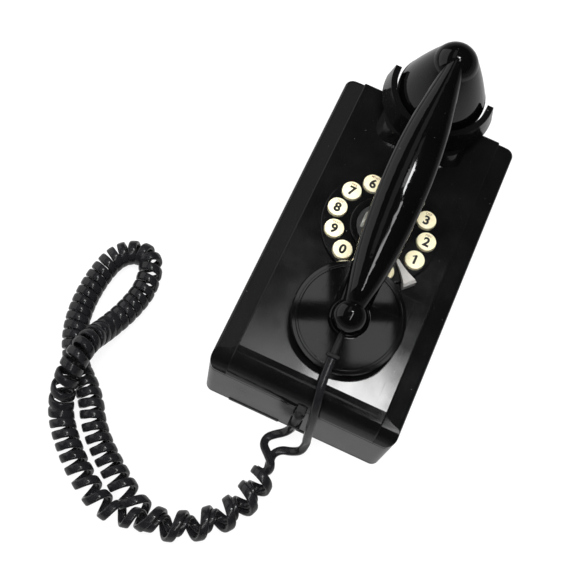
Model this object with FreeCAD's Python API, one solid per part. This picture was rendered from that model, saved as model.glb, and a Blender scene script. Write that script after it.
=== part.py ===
"""Push-button wall telephone with a mock rotary dial, lying on its back.

Millimetres. X runs across the body, Y towards the receiver end, Z out of the wall.
The origin is the centre of the back face.
"""
import FreeCAD, Part
import math
import os

V = FreeCAD.Vector
Z_AXIS = V(0, 0, 1)
X_AXIS = V(1, 0, 0)

# Body
BODY_W = 133.0
BODY_L = 241.0
BODY_H = 67.5
BODY_CORNER_R = 6.0
WALL = 2.6
PLATE_T = 3.0
COVER_H = 16.5
SEAM_GAP = 1.0
SEAM_DEPTH = 1.1
RAIL_STEP = 2.5
RAIL_W = 13.0
RAIL_FALL = 1.2
RAIL_EDGE_R = 2.5
PANEL_ROLL_RUN = 18.0
PANEL_LIP_H = 1.4
PANEL_TOP_EDGE_R = 3.0
PANEL_SIDE_R = 1.0
POST_R = 4.4
POST_INSET = 6.5
SCREW_R = 1.3
SCREW_HEAD_R = 2.8
SCREW_HEAD_H = 2.0
SCREW_FIT = 0.06
SCREW_CLEARANCE = 0.5
COVER_SCREW_REACH = 8.0
COVER_SCREW_Z = 0.25

# Back of the body
KEYHOLE_SPACING = 100.0
KEYHOLE_R = 4.5
KEYHOLE_SLOT_R = 2.4
KEYHOLE_SLOT_RUN = 9.0
SOCKET_W = 15.0
SOCKET_L = 17.0
SOCKET_H = 14.0
SOCKET_MOUTH_W = 11.0
SOCKET_MOUTH_L = 9.0
SOCKET_MOUTH_DEPTH = 11.0
SOCKET_Y = -20.0
LUG_PROUD = 0.6
LUG_SPANS = ((-47.0, -9.0), (0.0, 17.0))

# Dial
DIAL_Y = 16.0
DIAL_R = 41.7
DIAL_PLATE_T = 2.5
DIAL_EDGE_R = 1.0
DIAL_SPIGOT_R = 14.0
DIAL_SPIGOT_FIT = 0.1
RING_R = 32.8
BUTTON_R = 6.8
BUTTON_H = 3.0
BUTTON_DOME_H = 0.7
BUTTON_RIM_R = 0.6
BUTTON_FLANGE_R = 7.7
BUTTON_FLANGE_T = 1.2
BUTTON_FIT = 0.35
BUTTON_SEAT_GAP = 0.2
BUTTON_TRAVEL = 2.0
BUTTON_STOP_GAP = 0.4
BUTTON_FIRST_ANGLE = -22.8
BUTTON_STEP_ANGLE = 28.95
BUTTON_NAMES = ("1", "2", "3", "4", "5", "6", "7", "8", "9", "0", "star", "hash")
HUB_R = 22.0
HUB_BORE_R = 17.2
HUB_H = 2.6
HUB_EDGE_R = 1.2
CARD_T = 0.5
WINDOW_T = 1.2
CARD_FIT = 0.1
STOP_TIP_R = 26.0
STOP_END_R = 46.5
STOP_ANGLE = -43.5
STOP_FOOT_GAP = 0.5
STOP_TIP_HALF_W = 1.3
STOP_WAIST_HALF_W = 2.2
STOP_END_HALF_W = 5.0
STOP_TIP_H = 2.2
STOP_END_H = 5.2
STOP_LIFT = 0.3
STOP_BEVEL = 1.8
MAT_T = 1.4
BOARD_T = 1.6
BOARD_R = 40.5
KEY_BOSS_R = 3.0
KEY_BOSS_RING_R = 20.0
KEY_BOSS_COUNT = 3
KEY_BOSS_FIRST_ANGLE = 30.0

# Cradle
CRADLE_OVERHANG = 3.5
FORK_R = 37.5
FORK_FLARE = 3.4
FORK_BAND_T = 4.4
FORK_BAND_H = 13.0
FORK_PRONG_RUN = 3.0
SEAT_T = 3.0
SEAT_H = 12.5
PEDESTAL_HALF_W = 33.0
PEDESTAL_FRONT = 43.0
PEDESTAL_BACK = 6.0
PEDESTAL_CORNER_R = 12.0
PEDESTAL_TAPER = 4.0
PLUNGER_R = 4.0
PLUNGER_SET_BACK = 18.0
PLUNGER_FIT = 0.08
PLUNGER_FLANGE_R = 6.5
PLUNGER_FLANGE_T = 2.0
PLUNGER_LENGTH = 30.0
PLUNGER_PROUD = 0.1
PLUNGER_RISE = 3.0
CRADLE_SCREW_X = 22.0
CRADLE_SCREW_SET_BACK = 24.0
CRADLE_SCREW_REACH = 7.0

# Inner pieces
MAIN_BOARD_W = 84.0
MAIN_BOARD_L = 76.0
MAIN_BOARD_POST_H = 30.0
MAIN_BOARD_POST_R = 4.0
MAIN_BOARD_POST_INSET = 5.0
SWITCH_W = 20.0
SWITCH_L = 8.0
SWITCH_GAP = 0.3
RINGER_R = 24.0
RINGER_H = 9.0
RINGER_FROM_END = 35.5
RINGER_RIM_T = 2.0
RINGER_RIM_H = 4.0
RINGER_FIT = 0.15

# Handset, which lies slightly askew in the cradle
HANDSET_SKEW = 1.58
HANDSET_GAP = 0.4
EAR_R = 31.8
EAR_CAP_H = 8.0
EAR_CAP_EDGE_R = 2.5
EAR_CAP_FLOOR_T = 2.5
BELL_RIM_R = 30.8
BELL_RIM_H = 2.5
BELL_NECK_R = 15.6
BELL_NECK_H = 39.0
BELL_H = 50.6
EAR_CAVITY_R = 26.0
EAR_CAVITY_H = 14.0
EAR_SPIGOT_T = 2.0
EAR_SPIGOT_H = 5.0
CAP_FIT = 0.1
CAPSULE_GAP = 0.4
MOUTH_FROM_END = 59.1
MOUTH_TILT = 18.0
MOUTH_DISH_R = 34.8
MOUTH_DISH_T = 6.0
MOUTH_LIP_W = 2.0
MOUTH_LIP_H = 1.2
MOUTH_LIP_R = 0.5
MOUTH_CAP_TOP_R = 36.9
MOUTH_CAP_R = 38.0
MOUTH_CAP_DROP = 0.8
MOUTH_CAP_FLOOR_T = 2.0
MIC_R = 12.0
MIC_H = 3.6
SOUND_HOLE_R = 1.1
SOUND_RING_R = 8.0
SOUND_HOLES = 8
KNOB_R = 12.0
KNOB_RISE = 8.0
WEB_H = 9.0
WEB_FLARE = 3.0
WEB_KNOB_HALF_W = 7.0
WEB_END_HALF_W = 8.6
RELIEF_START = 8.0
RELIEF_LENGTH = 20.0
RELIEF_H = 3.6
RELIEF_START_R = 1.9
RELIEF_END_R = 2.9
COLLAR_W = 9.0
COLLAR_H = 7.0
COLLAR_T = 2.4

# Handle sections: share of the way from mouthpiece to receiver, height over the panel, half width and height
HANDLE_SECTIONS = (
    (0.018, 29.3, 7.5, 8.4),
    (0.094, 37.0, 10.3, 10.0),
    (0.180, 41.0, 12.8, 9.6),
    (0.320, 46.0, 15.2, 9.4),
    (0.515, 51.5, 16.2, 9.6),
    (0.709, 55.0, 14.2, 10.0),
    (0.860, 56.9, 10.5, 11.2),
    (0.968, 58.1, 7.5, 12.6),
)

# Cord: places across the body and out from its lower wall, then for the leads the share of the body's
# height, and for the curls the lift from where they lie on the table and the curls counted so far
WIRE_D = 4.0
CURL_R = 7.0
CURL_RAMP = 0.7
CURL_COUNT = 66.0
CURL_FLOOR_GAP = 0.1
CORD_END_GAP = 0.1
HANDSET_LEAD_RUN = 9.0
BASE_LEAD_RUN = 7.5
NODES_PER_CURL = 4
AXIS_STEPS = 64
BASE_RELIEF_X = 2.0
BASE_RELIEF_NOTCH_W = 7.0
BASE_RELIEF_NOTCH_H = 6.5
BASE_RELIEF_NOTCH_DEPTH = 9.0
BASE_RELIEF_STAND_OFF = 4.4
BASE_RELIEF_RISE = 2.0
BASE_RELIEF_TOP_R = 3.4
BASE_RELIEF_END_R = 2.8
BASE_COLLAR_DROP = 21.0
BASE_COLLAR_W = 8.5
BASE_COLLAR_T = 3.0
HANDSET_LEAD_ROUTE = (
    (7.2, -13.0, 1.117),
    (9.3, -3.5, 1.022),
    (11.0, 3.5, 0.867),
    (12.4, 7.0, 0.667),
    (13.5, 9.5, 0.459),
    (15.0, 11.0, 0.267),
    (14.0, 14.5, 0.119),
    (8.0, 16.5, 0.042),
    (1.5, 18.0, 0.034),
    (-3.0, 23.5, 0.034),
)
# Out from the wall the two strands lie wound into each other, on one axis and half a turn apart
CURL_START = (
    (-4, 31, -6, 0.0),
    (-6, 39, 1, 0.25),
)
TWIN_STRETCH = (
    (-4, 55, 0, 1.25),
    (-14, 78, 0, 2.25),
    (-36, 95, 0, 3.25),
    (-62, 101, 0, 4.25),
)
CURL_LOOP = (
    (-88, 85, 0, 5.25),
    (-121, 65, 0, 11.0),
    (-135, 42, 0, 14.0),
    (-156, 24, 0, 18.0),
    (-167, 0, 0, 22.0),
    (-170, -34, 0, 27.0),
    (-164, -70, 0, 31.0),
    (-138, -80, 0, 33.0),
    (-131, -53, 0, 35.0),
    (-137, -27, 0, 39.0),
    (-146, -3, 3, 43.5),
    (-149, 14, 22, 47.0),
    (-151, 40, 22, 50.5),
    (-153, 57, 1, 53.0),
    (-141, 74, 0, 55.5),
    (-118, 93, 0, 59.0),
    (-88, 109, 0, 60.75),
)
CURL_END = (
    (0, 39, 0, 65.75),
    (-1, 31, 0, CURL_COUNT),
)
BASE_LEAD_ROUTE = (
    (-6.5, 25.5, 0.113),
    (-11.5, 20.5, 0.065),
    (-11.5, 14.5, 0.044),
    (-7.0, 10.5, 0.067),
    (-2.0, 8.0, 0.133),
    (0.9, 5.8, 0.225),
)

# Values that follow from the sizes above
HALF_W = BODY_W / 2
HALF_L = BODY_L / 2
CRADLE_Y = HALF_L + CRADLE_OVERHANG
PEDESTAL_FRONT_Y = CRADLE_Y - PEDESTAL_FRONT
PEDESTAL_BACK_Y = CRADLE_Y - PEDESTAL_BACK
PLUNGER_Y = CRADLE_Y - PLUNGER_SET_BACK
CRADLE_SCREW_Y = CRADLE_Y - CRADLE_SCREW_SET_BACK
MAIN_BOARD_Y = PLUNGER_Y + SWITCH_L / 2 - MAIN_BOARD_L / 2
RINGER_Y = -HALF_L + RINGER_FROM_END
MOUTH_Y = -HALF_L + MOUTH_FROM_END
PANEL_HALF_W = HALF_W - RAIL_W
PANEL_TOP = BODY_H
RAIL_TOP = BODY_H - RAIL_STEP
BASE_TOP = BODY_H - COVER_H
PANEL_UNDER = PANEL_TOP - WALL
DIAL_TOP = PANEL_TOP + DIAL_PLATE_T
BUTTON_FLANGE_Z = PANEL_UNDER - BUTTON_SEAT_GAP - BUTTON_FLANGE_T
MAT_TOP = BUTTON_FLANGE_Z - BUTTON_TRAVEL - BUTTON_STOP_GAP
BOARD_TOP = MAT_TOP - MAT_T
SEAT_Z = PANEL_TOP + SEAT_H
PLUNGER_TOP = SEAT_Z + PLUNGER_PROUD
PLUNGER_END = PLUNGER_TOP - PLUNGER_LENGTH
MAIN_BOARD_Z = PLATE_T + MAIN_BOARD_POST_H
EAR_CAP_Z = SEAT_Z + HANDSET_GAP
BELL_Z = EAR_CAP_Z + EAR_CAP_H
MOUTH_CAP_Z = -MOUTH_DISH_T - MOUTH_CAP_FLOOR_T
WEB_RUN = MOUTH_DISH_R - MOUTH_LIP_W / 2
MOUTH_TILT_SIN = math.sin(math.radians(MOUTH_TILT))
MOUTH_TILT_COS = math.cos(math.radians(MOUTH_TILT))
MOUTH_Z = PANEL_TOP + HANDSET_GAP + MOUTH_CAP_R * MOUTH_TILT_SIN - MOUTH_CAP_Z * MOUTH_TILT_COS
QUARTERS = [(-1, -1), (-1, 1), (1, -1), (1, 1)]
POSTS = [(sx * (HALF_W - POST_INSET), sy * (HALF_L - POST_INSET)) for sx, sy in QUARTERS]
BASE_BOOT_Y = -HALF_L - BASE_RELIEF_STAND_OFF
BASE_RELIEF_Z = BASE_TOP + BASE_RELIEF_RISE
BASE_COLLAR_Z = BASE_TOP - BASE_COLLAR_DROP
KEYHOLES_Y = (-KEYHOLE_SPACING / 2, KEYHOLE_SPACING / 2)
CURL_LIE_H = CURL_R + WIRE_D / 2 + CURL_FLOOR_GAP
TWIN_RETURN = tuple((*row[:3], CURL_COUNT - row[3]) for row in reversed(TWIN_STRETCH))
CURL_ROUTE = CURL_START + TWIN_STRETCH + CURL_LOOP + TWIN_RETURN + CURL_END


def box(x0, x1, y0, y1, z0, z1):
    return Part.makeBox(x1 - x0, y1 - y0, z1 - z0, V(x0, y0, z0))


def rod(radius, z0, z1, x=0.0, y=0.0):
    return Part.makeCylinder(radius, z1 - z0, V(x, y, z0))


def ring(outer, inner, z0, z1, x=0.0, y=0.0):
    return rod(outer, z0, z1, x, y).cut(rod(inner, z0, z1, x, y))


def on_circle(radius, angle, x=0.0, y=0.0):
    """Point on a circle in plan, with the angle in degrees from +X."""
    turn = math.radians(angle)
    return x + radius * math.cos(turn), y + radius * math.sin(turn)


def outline(start, steps):
    """Closed face from lines to points and arcs given as (through, end) pairs."""
    edges = []
    here = start
    for step in steps:
        if isinstance(step, tuple):
            edges.append(Part.Arc(here, step[0], step[1]).toShape())
            here = step[1]
        else:
            edges.append(Part.makeLine(here, step))
            here = step
    return Part.Face(Part.Wire(edges))


def upright_edges(shape):
    return [e for e in shape.Edges if abs(e.tangentAt(e.FirstParameter).z) > 0.99]


def edges_at(shape, z):
    """Edges that lie flat at one height."""
    return [e for e in shape.Edges if max(abs(e.BoundBox.ZMin - z), abs(e.BoundBox.ZMax - z)) < 1e-4]


def slab(width, length, corner, z0, z1, x=0.0, y=0.0):
    """Plate with upright rounded corners."""
    plate = box(x - width / 2, x + width / 2, y - length / 2, y + length / 2, z0, z1)
    return plate.makeFillet(corner, upright_edges(plate))


def screw(z_head, z_tip, x, y):
    """Pan-head screw whose head lies below z_head + SCREW_HEAD_H, pointing up."""
    head = rod(SCREW_HEAD_R, z_head, z_head + SCREW_HEAD_H, x, y)
    head = head.makeFillet(SCREW_HEAD_H * 0.4, edges_at(head, z_head))
    return head.fuse(rod(SCREW_R, z_head + SCREW_HEAD_H, z_tip, x, y)).removeSplitter()


def button_places():
    """Name and centre of each push-button round the dial."""
    for index, name in enumerate(BUTTON_NAMES):
        angle = BUTTON_FIRST_ANGLE + index * BUTTON_STEP_ANGLE
        yield name, on_circle(RING_R, angle, 0.0, DIAL_Y)


def key_bosses():
    angles = [KEY_BOSS_FIRST_ANGLE + k * 360 / KEY_BOSS_COUNT for k in range(KEY_BOSS_COUNT)]
    return [on_circle(KEY_BOSS_RING_R, angle, 0.0, DIAL_Y) for angle in angles]


def board_posts():
    dx = MAIN_BOARD_W / 2 - MAIN_BOARD_POST_INSET
    dy = MAIN_BOARD_L / 2 - MAIN_BOARD_POST_INSET
    return [(sx * dx, MAIN_BOARD_Y + sy * dy) for sx, sy in QUARTERS]


def make_back_plate():
    plate = slab(BODY_W, BODY_L, BODY_CORNER_R, 0, PLATE_T)
    for left, right in LUG_SPANS:
        plate = plate.fuse(box(left, right, -HALF_L - LUG_PROUD, -HALF_L + WALL, 0, PLATE_T))
    for x, y in board_posts():
        plate = plate.fuse(rod(MAIN_BOARD_POST_R, 0, MAIN_BOARD_Z, x, y))
        plate = plate.cut(rod(SCREW_R + SCREW_FIT, PLATE_T, MAIN_BOARD_Z, x, y))
    plate = plate.fuse(ring(RINGER_R + RINGER_FIT + RINGER_RIM_T, RINGER_R + RINGER_FIT,
                            PLATE_T, PLATE_T + RINGER_RIM_H, 0, RINGER_Y))
    for x, y in POSTS:
        plate = plate.cut(rod(SCREW_R + SCREW_CLEARANCE, 0, PLATE_T, x, y))
        plate = plate.cut(rod(SCREW_HEAD_R + SCREW_CLEARANCE, 0, COVER_SCREW_Z + SCREW_HEAD_H, x, y))
    for y in KEYHOLES_Y:
        plate = plate.cut(rod(KEYHOLE_R, 0, PLATE_T, 0, y))
        plate = plate.cut(box(-KEYHOLE_SLOT_R, KEYHOLE_SLOT_R, y, y + KEYHOLE_SLOT_RUN, 0, PLATE_T))
        plate = plate.cut(rod(KEYHOLE_SLOT_R, 0, PLATE_T, 0, y + KEYHOLE_SLOT_RUN))
    mouth = box(-SOCKET_MOUTH_W / 2, SOCKET_MOUTH_W / 2, SOCKET_Y - SOCKET_MOUTH_L / 2,
                SOCKET_Y + SOCKET_MOUTH_L / 2, 0, PLATE_T)
    return plate.cut(mouth).removeSplitter()


def make_line_socket():
    z0 = PLATE_T
    half_l = SOCKET_L / 2
    body = box(-SOCKET_W / 2, SOCKET_W / 2, SOCKET_Y - half_l, SOCKET_Y + half_l, z0, z0 + SOCKET_H)
    mouth = box(-SOCKET_MOUTH_W / 2, SOCKET_MOUTH_W / 2, SOCKET_Y - SOCKET_MOUTH_L / 2,
                SOCKET_Y + SOCKET_MOUTH_L / 2, z0, z0 + SOCKET_MOUTH_DEPTH)
    return body.cut(mouth)


def make_base_housing():
    walls = slab(BODY_W, BODY_L, BODY_CORNER_R, PLATE_T, BASE_TOP)
    gap_z = BASE_TOP - SEAM_GAP
    step = slab(BODY_W - 2 * SEAM_DEPTH, BODY_L - 2 * SEAM_DEPTH, BODY_CORNER_R - SEAM_DEPTH, gap_z, BASE_TOP)
    walls = walls.common(box(-HALF_W, HALF_W, -HALF_L, HALF_L, PLATE_T, gap_z)).fuse(step)
    walls = walls.cut(slab(BODY_W - 2 * WALL, BODY_L - 2 * WALL, BODY_CORNER_R - WALL, PLATE_T, BASE_TOP))
    for x, y in POSTS:
        walls = walls.fuse(rod(POST_R, PLATE_T, BASE_TOP, x, y))
        walls = walls.cut(rod(SCREW_R + SCREW_CLEARANCE, PLATE_T, BASE_TOP, x, y))
    return walls.removeSplitter()


def make_rail(side):
    """Side rail of the cover, with a top that falls a little outwards."""
    inner = side * PANEL_HALF_W
    outer = side * HALF_W
    corners = (V(inner, -HALF_L, BASE_TOP), V(outer, -HALF_L, BASE_TOP),
               V(outer, -HALF_L, RAIL_TOP - RAIL_FALL), V(inner, -HALF_L, RAIL_TOP))
    face = outline(corners[0], corners[1:] + corners[:1])
    rail = face.extrude(V(0, BODY_L, 0))
    outer_corners = [e for e in upright_edges(rail) if abs(e.CenterOfMass.x - outer) < 1e-4]
    rail = rail.makeFillet(BODY_CORNER_R, outer_corners)
    top = [e for e in rail.Edges if e.BoundBox.ZMin > RAIL_TOP - RAIL_FALL - 0.01]
    rim = [e for e in top if abs(e.CenterOfMass.x - inner) > 1e-3]
    rail = rail.makeFillet(RAIL_EDGE_R, rim)
    return rail.common(centred_extrusion(side_face(RAIL_TOP, 0.0), HALF_W))


def side_face(height, inset):
    """Side outline of the cover at this height or, set in by a wall, of the hollow under it."""
    drop = height - BASE_TOP - PANEL_LIP_H
    radius = (PANEL_ROLL_RUN ** 2 + drop ** 2) / (2 * drop)
    centre_y = -HALF_L + PANEL_ROLL_RUN
    centre_z = height - radius
    roll = radius - inset
    low_y = -HALF_L + inset
    low_z = centre_z + math.sqrt(roll ** 2 - (centre_y - low_y) ** 2)
    half_turn = math.asin((centre_y - low_y) / roll) / 2
    through = V(0, centre_y - roll * math.sin(half_turn), centre_z + roll * math.cos(half_turn))
    top = height - inset
    edge = PANEL_TOP_EDGE_R - inset if PANEL_TOP_EDGE_R > inset else PANEL_TOP_EDGE_R / 2
    far = HALF_L - inset
    bend = edge * (1 - math.sqrt(0.5))
    return outline(V(0, low_y, BASE_TOP), (
        V(0, low_y, low_z),
        (through, V(0, centre_y, top)),
        V(0, far - edge, top),
        (V(0, far - bend, top - bend), V(0, far, top - edge)),
        V(0, far, BASE_TOP),
        V(0, low_y, BASE_TOP)))


def centred_extrusion(face, half_width):
    solid = face.extrude(V(2 * half_width, 0, 0))
    solid.translate(V(-half_width, 0, 0))
    return solid


def make_front_cover():
    cover = centred_extrusion(side_face(PANEL_TOP, 0.0), PANEL_HALF_W)
    lip_z = BASE_TOP + PANEL_LIP_H
    sides = [e for e in cover.Edges if e.BoundBox.XLength < 1e-4 and e.CenterOfMass.z > lip_z]
    flanks = [e for e in sides if e.BoundBox.YLength > 1e-4]
    cover = cover.makeFillet(PANEL_SIDE_R, flanks)
    cover = cover.fuse([make_rail(-1), make_rail(1)]).removeSplitter()
    hollow = centred_extrusion(side_face(PANEL_TOP, WALL), PANEL_HALF_W - WALL)
    for x, y in key_bosses():
        hollow = hollow.cut(rod(KEY_BOSS_R, MAT_TOP, PANEL_TOP, x, y))
    cover = cover.cut(hollow)
    for side in (-1, 1):
        near, far = sorted((side * PANEL_HALF_W, side * (HALF_W - WALL)))
        roof = RAIL_TOP - RAIL_FALL - WALL
        rail_hollow = box(near, far, -HALF_L + PANEL_ROLL_RUN, HALF_L - WALL, BASE_TOP, roof)
        for x, y in POSTS:
            rail_hollow = rail_hollow.cut(rod(POST_R, BASE_TOP, RAIL_TOP, x, y))
        cover = cover.cut(rail_hollow)
    for x, y in POSTS:
        cover = cover.cut(rod(SCREW_R + SCREW_FIT, BASE_TOP, BASE_TOP + COVER_SCREW_REACH, x, y))
    for x, y in key_bosses():
        cover = cover.cut(rod(SCREW_R + SCREW_FIT, MAT_TOP, PANEL_UNDER, x, y))
    for name, (x, y) in button_places():
        cover = cover.cut(rod(BUTTON_R + BUTTON_FIT, PANEL_UNDER, PANEL_TOP, x, y))
    cover = cover.cut(rod(DIAL_SPIGOT_R + DIAL_SPIGOT_FIT, PANEL_UNDER, PANEL_TOP, 0, DIAL_Y))
    cover = cover.cut(rod(PLUNGER_R + SCREW_CLEARANCE, PANEL_UNDER, PANEL_TOP, 0, PLUNGER_Y))
    for side in (-1, 1):
        screw_x = side * CRADLE_SCREW_X
        cover = cover.cut(rod(SCREW_R + SCREW_CLEARANCE, PANEL_UNDER, PANEL_TOP, screw_x, CRADLE_SCREW_Y))
    notch_x = BASE_RELIEF_NOTCH_W / 2
    notch = box(BASE_RELIEF_X - notch_x, BASE_RELIEF_X + notch_x, -HALF_L, -HALF_L + BASE_RELIEF_NOTCH_DEPTH,
                BASE_TOP, BASE_TOP + BASE_RELIEF_NOTCH_H)
    return cover.cut(notch)


def make_cover_screws():
    tip = BASE_TOP + COVER_SCREW_REACH - SCREW_CLEARANCE
    return [screw(COVER_SCREW_Z, tip, x, y) for x, y in POSTS]


def make_dial_plate():
    plate = rod(DIAL_R, PANEL_TOP, DIAL_TOP, 0, DIAL_Y)
    plate = plate.makeFillet(DIAL_EDGE_R, edges_at(plate, DIAL_TOP))
    plate = plate.fuse(rod(DIAL_SPIGOT_R, PANEL_UNDER, PANEL_TOP, 0, DIAL_Y))
    for name, (x, y) in button_places():
        plate = plate.cut(rod(BUTTON_R + BUTTON_FIT, PANEL_TOP, DIAL_TOP, x, y))
    return plate.removeSplitter()


def make_hub_ring():
    hub = ring(HUB_R, HUB_BORE_R, DIAL_TOP, DIAL_TOP + HUB_H, 0, DIAL_Y)
    return hub.makeFillet(HUB_EDGE_R, edges_at(hub, DIAL_TOP + HUB_H))


def make_number_card():
    return rod(HUB_BORE_R - CARD_FIT, DIAL_TOP, DIAL_TOP + CARD_T, 0, DIAL_Y)


def make_card_window():
    z0 = DIAL_TOP + CARD_T
    window = rod(HUB_BORE_R - CARD_FIT, z0, z0 + WINDOW_T, 0, DIAL_Y)
    return window.makeFillet(WINDOW_T / 2, edges_at(window, z0 + WINDOW_T))


def make_finger_stop():
    """Tapered stop that stands on the panel beside the dial and reaches in over it."""
    low = DIAL_TOP + STOP_LIFT
    foot = DIAL_R + STOP_FOOT_GAP
    top_tip = DIAL_TOP + STOP_TIP_H
    top_end = DIAL_TOP + STOP_END_H
    side = (V(STOP_TIP_R, 0, low), V(foot, 0, low), V(foot, 0, PANEL_TOP), V(STOP_END_R, 0, PANEL_TOP),
            V(STOP_END_R, 0, top_end - STOP_BEVEL), V(STOP_END_R - STOP_BEVEL, 0, top_end),
            V(STOP_TIP_R, 0, top_tip))
    blade = outline(side[0], side[1:] + side[:1]).extrude(V(0, 2 * STOP_END_HALF_W, 0))
    blade.translate(V(0, -STOP_END_HALF_W, 0))
    waist_r = (STOP_TIP_R + STOP_END_R) / 2
    plan = outline(V(STOP_TIP_R, -STOP_TIP_HALF_W, PANEL_TOP), (
        (V(waist_r, -STOP_WAIST_HALF_W, PANEL_TOP), V(STOP_END_R, -STOP_END_HALF_W, PANEL_TOP)),
        V(STOP_END_R, STOP_END_HALF_W, PANEL_TOP),
        (V(waist_r, STOP_WAIST_HALF_W, PANEL_TOP), V(STOP_TIP_R, STOP_TIP_HALF_W, PANEL_TOP)),
        V(STOP_TIP_R, -STOP_TIP_HALF_W, PANEL_TOP)))
    wedge = plan.extrude(V(0, 0, top_end))
    wedge = wedge.makeFillet(STOP_TIP_HALF_W * 0.9,
                             [e for e in upright_edges(wedge) if e.CenterOfMass.x < STOP_TIP_R + 0.01])
    stop = blade.common(wedge)
    stop.rotate(V(0, 0, 0), Z_AXIS, STOP_ANGLE)
    stop.translate(V(0, DIAL_Y, 0))
    return stop


def make_button(x, y):
    """Domed button with a flange under the panel that stops it from lifting out."""
    top = DIAL_TOP + BUTTON_H
    radius = (BUTTON_R ** 2 + BUTTON_DOME_H ** 2) / (2 * BUTTON_DOME_H)
    cap = rod(BUTTON_R, BUTTON_FLANGE_Z, top, x, y)
    dome = Part.makeSphere(radius, V(x, y, top - radius))
    cap = cap.common(dome)
    cap = cap.makeFillet(BUTTON_RIM_R, edges_at(cap, top - BUTTON_DOME_H))
    flange = rod(BUTTON_FLANGE_R, BUTTON_FLANGE_Z, BUTTON_FLANGE_Z + BUTTON_FLANGE_T, x, y)
    return cap.fuse(flange).removeSplitter()


def make_keypad_disc(top, thickness):
    """Mat or board under the buttons, with clearance for the screws."""
    disc = rod(BOARD_R, top - thickness, top, 0, DIAL_Y)
    for x, y in key_bosses():
        disc = disc.cut(rod(SCREW_R + SCREW_CLEARANCE, top - thickness, top, x, y))
    return disc


def make_keypad_screws():
    head_z = BOARD_TOP - BOARD_T - SCREW_HEAD_H
    return [screw(head_z, PANEL_UNDER - SCREW_CLEARANCE, x, y) for x, y in key_bosses()]


def rounded_wire(half_w, y0, y1, corner, z):
    """Rounded rectangle in plan, from its own slab's flat edges."""
    plate = slab(2 * half_w, y1 - y0, corner, z, z + 1, 0, (y0 + y1) / 2)
    return Part.Wire(Part.__sortEdges__(edges_at(plate, z)))


def make_cradle_fork():
    floor_z = SEAT_Z - SEAT_T
    foot = rounded_wire(PEDESTAL_HALF_W, PEDESTAL_FRONT_Y, PEDESTAL_BACK_Y, PEDESTAL_CORNER_R, PANEL_TOP)
    neck = rounded_wire(PEDESTAL_HALF_W - PEDESTAL_TAPER, PEDESTAL_FRONT_Y + PEDESTAL_TAPER, PEDESTAL_BACK_Y,
                        PEDESTAL_CORNER_R - PEDESTAL_TAPER / 2, floor_z)
    pedestal = Part.makeLoft([foot, neck], True)
    top_z = SEAT_Z + FORK_BAND_H
    inner = FORK_R - FORK_BAND_T
    section = (V(inner, CRADLE_Y, floor_z), V(FORK_R + FORK_FLARE, CRADLE_Y, floor_z),
               V(FORK_R, CRADLE_Y, top_z), V(inner, CRADLE_Y, top_z))
    face = outline(section[0], section[1:] + section[:1])
    band = face.revolve(V(0, CRADLE_Y, 0), Z_AXIS, -180)
    prong = face.extrude(V(0, FORK_PRONG_RUN, 0))
    seat = rod(FORK_R, floor_z, SEAT_Z, 0, CRADLE_Y)
    seat = seat.common(box(-FORK_R, FORK_R, CRADLE_Y - FORK_R, PEDESTAL_BACK_Y, floor_z, SEAT_Z))
    fork = pedestal.fuse([seat, band, prong, prong.mirror(V(0, 0, 0), X_AXIS)]).removeSplitter()
    fork = fork.cut(rod(PLUNGER_R + PLUNGER_FIT, PANEL_TOP, SEAT_Z, 0, PLUNGER_Y))
    for side in (-1, 1):
        fork = fork.cut(rod(SCREW_R + SCREW_FIT, PANEL_TOP, PANEL_TOP + CRADLE_SCREW_REACH,
                            side * CRADLE_SCREW_X, CRADLE_SCREW_Y))
    return fork


def make_cradle_screws():
    tip = PANEL_TOP + CRADLE_SCREW_REACH - SCREW_CLEARANCE
    return [screw(PANEL_UNDER - SCREW_HEAD_H, tip, side * CRADLE_SCREW_X, CRADLE_SCREW_Y) for side in (-1, 1)]


def make_hook_plunger():
    pin = rod(PLUNGER_R, PLUNGER_END, PLUNGER_TOP, 0, PLUNGER_Y)
    pin = pin.makeFillet(PLUNGER_R / 4, edges_at(pin, PLUNGER_END))
    flange_top = PANEL_UNDER - PLUNGER_RISE - SCREW_CLEARANCE
    flange = rod(PLUNGER_FLANGE_R, flange_top - PLUNGER_FLANGE_T, flange_top, 0, PLUNGER_Y)
    return pin.fuse(flange).removeSplitter()


def make_main_board():
    dx = MAIN_BOARD_W / 2
    dy = MAIN_BOARD_L / 2
    board = box(-dx, dx, MAIN_BOARD_Y - dy, MAIN_BOARD_Y + dy, MAIN_BOARD_Z, MAIN_BOARD_Z + BOARD_T)
    for x, y in board_posts():
        board = board.cut(rod(SCREW_R + SCREW_CLEARANCE, MAIN_BOARD_Z, MAIN_BOARD_Z + BOARD_T, x, y))
    return board


def make_board_screws():
    screws = []
    for x, y in board_posts():
        down = screw(0, BOARD_T + COVER_SCREW_REACH + SCREW_HEAD_H, x, y)
        down.rotate(V(x, y, 0), X_AXIS, 180)
        down.translate(V(0, 0, MAIN_BOARD_Z + BOARD_T + SCREW_HEAD_H))
        screws.append(down)
    return screws


def make_hook_switch():
    dx = SWITCH_W / 2
    dy = SWITCH_L / 2
    return box(-dx, dx, PLUNGER_Y - dy, PLUNGER_Y + dy, MAIN_BOARD_Z + BOARD_T, PLUNGER_END - SWITCH_GAP)


def make_ringer():
    can = rod(RINGER_R, PLATE_T, PLATE_T + RINGER_H, 0, RINGER_Y)
    can = can.makeFillet(WALL / 2, edges_at(can, PLATE_T + RINGER_H))
    return can.cut(rod(RINGER_R / 6, PLATE_T + RINGER_H - WALL, PLATE_T + RINGER_H, 0, RINGER_Y))


def skewed(shape):
    """The handset's place: turned a little about the receiver's axis."""
    shape.rotate(V(0, CRADLE_Y, 0), Z_AXIS, HANDSET_SKEW)
    return shape


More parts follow.
